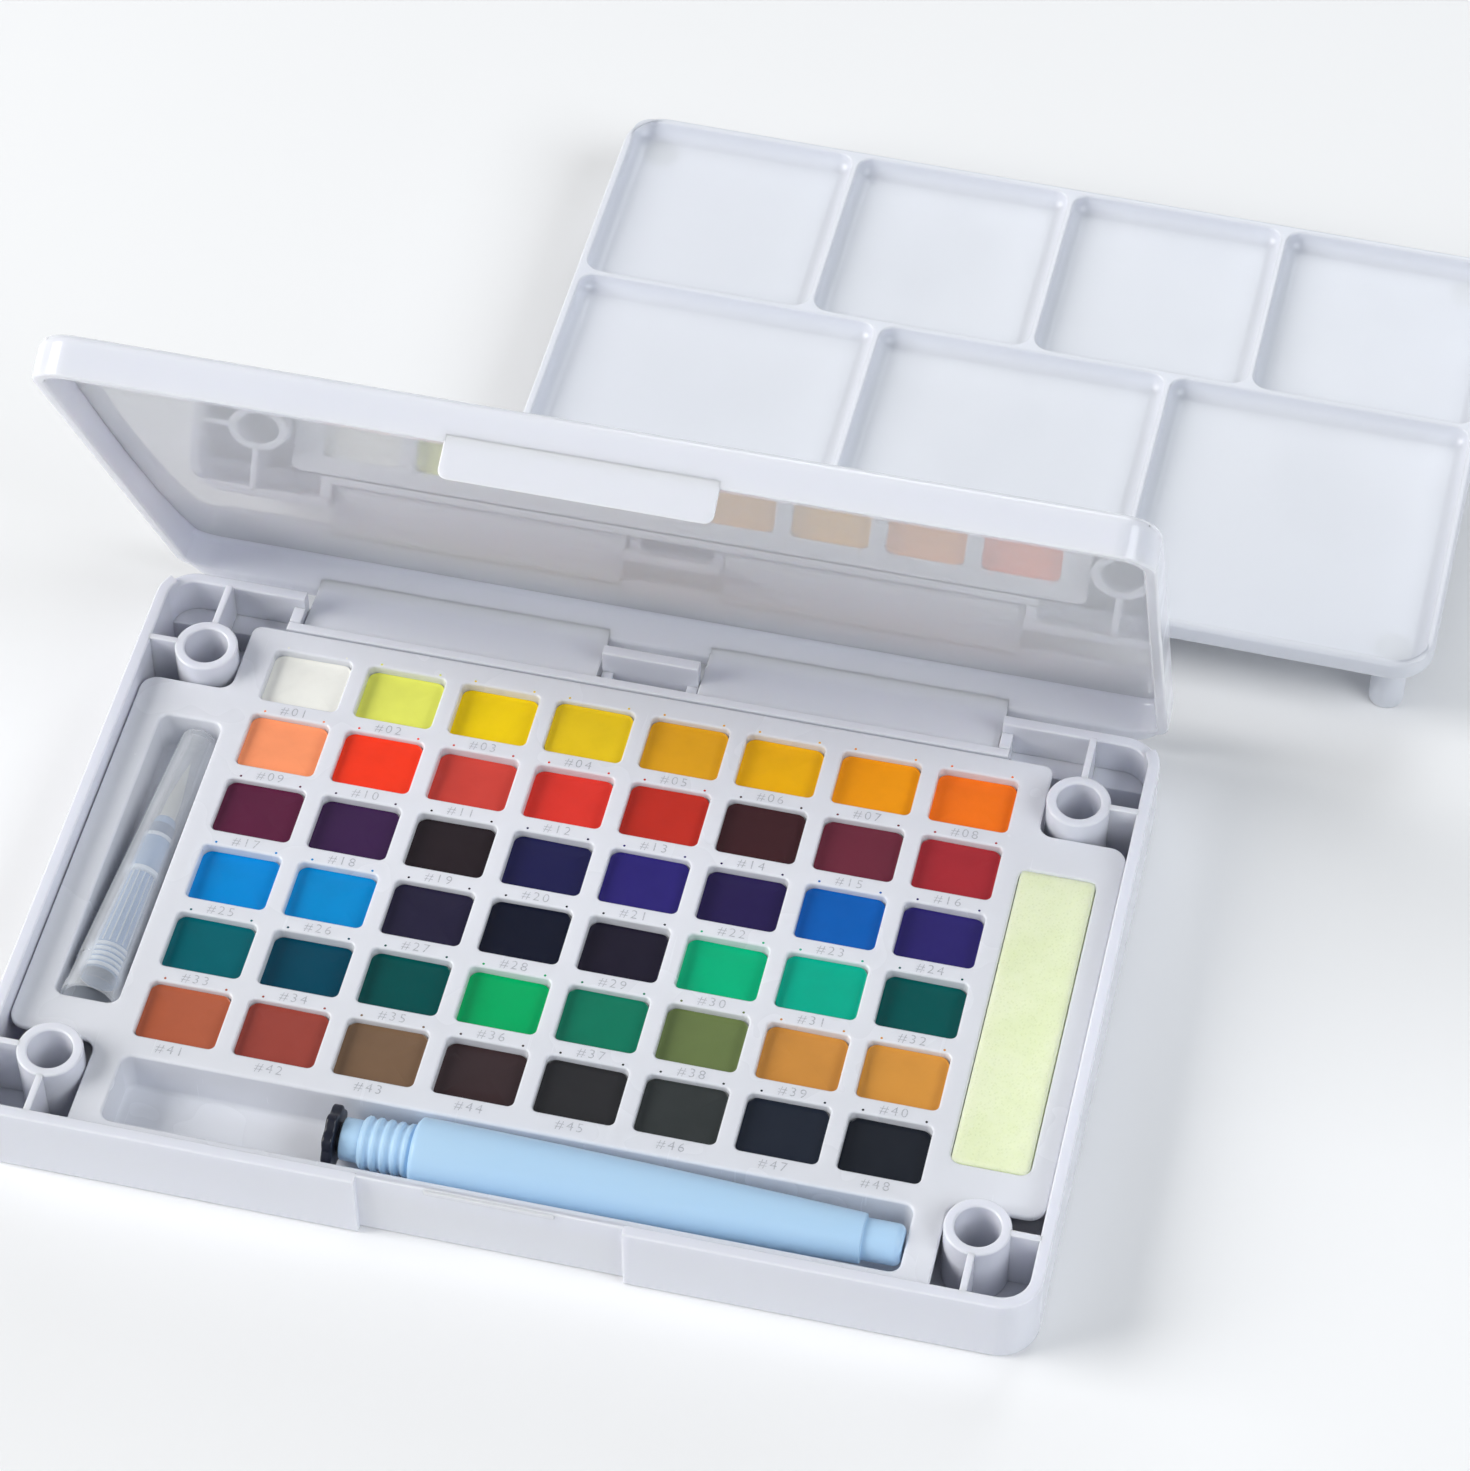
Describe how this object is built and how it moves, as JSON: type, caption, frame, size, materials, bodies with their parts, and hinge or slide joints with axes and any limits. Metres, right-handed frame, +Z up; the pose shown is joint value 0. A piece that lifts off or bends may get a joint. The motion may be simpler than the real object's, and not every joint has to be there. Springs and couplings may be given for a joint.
{
  "type": "watercolor sketch box",
  "caption": "Hinged flat sketch box with a tray of watercolour pans, a water brush stored in halves, a sponge strip and a mixing palette on four pegs.",
  "frame": {"origin": "middle of the flat underside of the case, on the table", "axes": "+X along the case's long side to the right, +Y to the rear where the lid is hinged, +Z up"},
  "size_m": [0.2628, 0.292, 0.1372],
  "materials": {
    "case_plastic": "smooth white moulded plastic, satin gloss",
    "tray_plastic": "smooth white moulded plastic, satin",
    "palette_plastic": "smooth white moulded plastic, satin gloss",
    "barrel_plastic": "translucent pale blue, softly frosted",
    "plug_plastic": "black, satin",
    "cap_plastic": "clear, faintly blue",
    "head_plastic": "translucent pale blue grey",
    "bristle": "fine white synthetic bristle",
    "sponge_foam": "pale yellow green open-cell sponge",
    "paint_01_white": "dried watercolour cake, semi-gloss",
    "paint_02_lemon_yellow": "dried watercolour cake, semi-gloss",
    "paint_03_bright_yellow": "dried watercolour cake, semi-gloss",
    "paint_04_deep_yellow": "dried watercolour cake, semi-gloss",
    "paint_05_yellow_ochre_light": "dried watercolour cake, semi-gloss",
    "paint_06_golden_yellow": "dried watercolour cake, semi-gloss",
    "paint_07_yellow_orange": "dried watercolour cake, semi-gloss",
    "paint_08_orange": "dried watercolour cake, semi-gloss",
    "paint_09_peach": "dried watercolour cake, semi-gloss",
    "paint_10_vermilion": "dried watercolour cake, semi-gloss",
    "paint_11_muted_red": "dried watercolour cake, semi-gloss",
    "paint_12_scarlet": "dried watercolour cake, semi-gloss",
    "paint_13_brick_red": "dried watercolour cake, semi-gloss",
    "paint_14_maroon_brown": "dried watercolour cake, semi-gloss",
    "paint_15_plum": "dried watercolour cake, semi-gloss",
    "paint_16_crimson": "dried watercolour cake, semi-gloss",
    "paint_17_purple_maroon": "dried watercolour cake, semi-gloss",
    "paint_18_dark_violet": "dried watercolour cake, semi-gloss",
    "paint_19_sepia_black": "dried watercolour cake, semi-gloss",
    "paint_20_navy_violet": "dried watercolour cake, semi-gloss",
    "paint_21_ultramarine_violet": "dried watercolour cake, semi-gloss",
    "paint_22_blue_violet": "dried watercolour cake, semi-gloss",
    "paint_23_cobalt_blue": "dried watercolour cake, semi-gloss",
    "paint_24_indigo_blue": "dried watercolour cake, semi-gloss",
    "paint_25_cerulean_blue": "dried watercolour cake, semi-gloss",
    "paint_26_sky_blue": "dried watercolour cake, semi-gloss",
    "paint_27_blue_grey": "dried watercolour cake, semi-gloss",
    "paint_28_blue_black": "dried watercolour cake, semi-gloss",
    "paint_29_violet_black": "dried watercolour cake, semi-gloss",
    "paint_30_emerald_green": "dried watercolour cake, semi-gloss",
    "paint_31_turquoise_green": "dried watercolour cake, semi-gloss",
    "paint_32_deep_teal": "dried watercolour cake, semi-gloss",
    "paint_33_teal": "dried watercolour cake, semi-gloss",
    "paint_34_dark_teal": "dried watercolour cake, semi-gloss",
    "paint_35_dark_green": "dried watercolour cake, semi-gloss",
    "paint_36_mid_green": "dried watercolour cake, semi-gloss",
    "paint_37_viridian_grey": "dried watercolour cake, semi-gloss",
    "paint_38_olive_green": "dried watercolour cake, semi-gloss",
    "paint_39_ochre": "dried watercolour cake, semi-gloss",
    "paint_40_yellow_ochre": "dried watercolour cake, semi-gloss",
    "paint_41_raw_sienna": "dried watercolour cake, semi-gloss",
    "paint_42_red_brown": "dried watercolour cake, semi-gloss",
    "paint_43_umber": "dried watercolour cake, semi-gloss",
    "paint_44_dark_sepia": "dried watercolour cake, semi-gloss",
    "paint_45_charcoal": "dried watercolour cake, semi-gloss",
    "paint_46_green_grey": "dried watercolour cake, semi-gloss",
    "paint_47_ink_blue": "dried watercolour cake, semi-gloss",
    "paint_48_black": "dried watercolour cake, semi-gloss"
  },
  "bodies": {
    "case": {"base_case": "case_plastic", "pan_tray": "tray_plastic", "paint_01_white": "paint_01_white", "paint_02_lemon_yellow": "paint_02_lemon_yellow", "paint_03_bright_yellow": "paint_03_bright_yellow", "paint_04_deep_yellow": "paint_04_deep_yellow", "paint_05_yellow_ochre_light": "paint_05_yellow_ochre_light", "paint_06_golden_yellow": "paint_06_golden_yellow", "paint_07_yellow_orange": "paint_07_yellow_orange", "paint_08_orange": "paint_08_orange", "paint_09_peach": "paint_09_peach", "paint_10_vermilion": "paint_10_vermilion", "paint_11_muted_red": "paint_11_muted_red", "paint_12_scarlet": "paint_12_scarlet", "paint_13_brick_red": "paint_13_brick_red", "paint_14_maroon_brown": "paint_14_maroon_brown", "paint_15_plum": "paint_15_plum", "paint_16_crimson": "paint_16_crimson", "paint_17_purple_maroon": "paint_17_purple_maroon", "paint_18_dark_violet": "paint_18_dark_violet", "paint_19_sepia_black": "paint_19_sepia_black", "paint_20_navy_violet": "paint_20_navy_violet", "paint_21_ultramarine_violet": "paint_21_ultramarine_violet", "paint_22_blue_violet": "paint_22_blue_violet", "paint_23_cobalt_blue": "paint_23_cobalt_blue", "paint_24_indigo_blue": "paint_24_indigo_blue", "paint_25_cerulean_blue": "paint_25_cerulean_blue", "paint_26_sky_blue": "paint_26_sky_blue", "paint_27_blue_grey": "paint_27_blue_grey", "paint_28_blue_black": "paint_28_blue_black", "paint_29_violet_black": "paint_29_violet_black", "paint_30_emerald_green": "paint_30_emerald_green", "paint_31_turquoise_green": "paint_31_turquoise_green", "paint_32_deep_teal": "paint_32_deep_teal", "paint_33_teal": "paint_33_teal", "paint_34_dark_teal": "paint_34_dark_teal", "paint_35_dark_green": "paint_35_dark_green", "paint_36_mid_green": "paint_36_mid_green", "paint_37_viridian_grey": "paint_37_viridian_grey", "paint_38_olive_green": "paint_38_olive_green", "paint_39_ochre": "paint_39_ochre", "paint_40_yellow_ochre": "paint_40_yellow_ochre", "paint_41_raw_sienna": "paint_41_raw_sienna", "paint_42_red_brown": "paint_42_red_brown", "paint_43_umber": "paint_43_umber", "paint_44_dark_sepia": "paint_44_dark_sepia", "paint_45_charcoal": "paint_45_charcoal", "paint_46_green_grey": "paint_46_green_grey", "paint_47_ink_blue": "paint_47_ink_blue", "paint_48_black": "paint_48_black"},
    "lid": {"lid": "case_plastic"},
    "palette": {"palette": "palette_plastic"},
    "barrel": {"brush_barrel": "barrel_plastic", "barrel_plug": "plug_plastic"},
    "head": {"brush_head": "head_plastic", "brush_tuft": "bristle", "brush_cap": "cap_plastic"},
    "sponge": {"sponge": "sponge_foam"}
  },
  "joints": [
    {"name": "lid_hinge", "type": "hinge", "parent": "case", "child": "lid", "pos_m": [0, 0.06641, 0.007], "axis": [-1, 0, 0], "range_deg": [-63.3, 36.7]},
    {"name": "palette_lift", "type": "slide", "parent": "case", "child": "palette", "axis": [0, 0, 1], "range_m": [0, 0.03]},
    {"name": "barrel_lift", "type": "slide", "parent": "case", "child": "barrel", "axis": [0, 0, 1], "range_m": [0, 0.03]},
    {"name": "brush_head_lift", "type": "slide", "parent": "case", "child": "head", "axis": [0, 0, 1], "range_m": [0, 0.03]},
    {"name": "sponge_lift", "type": "slide", "parent": "case", "child": "sponge", "axis": [0, 0, 1], "range_m": [0, 0.015]}
  ]
}
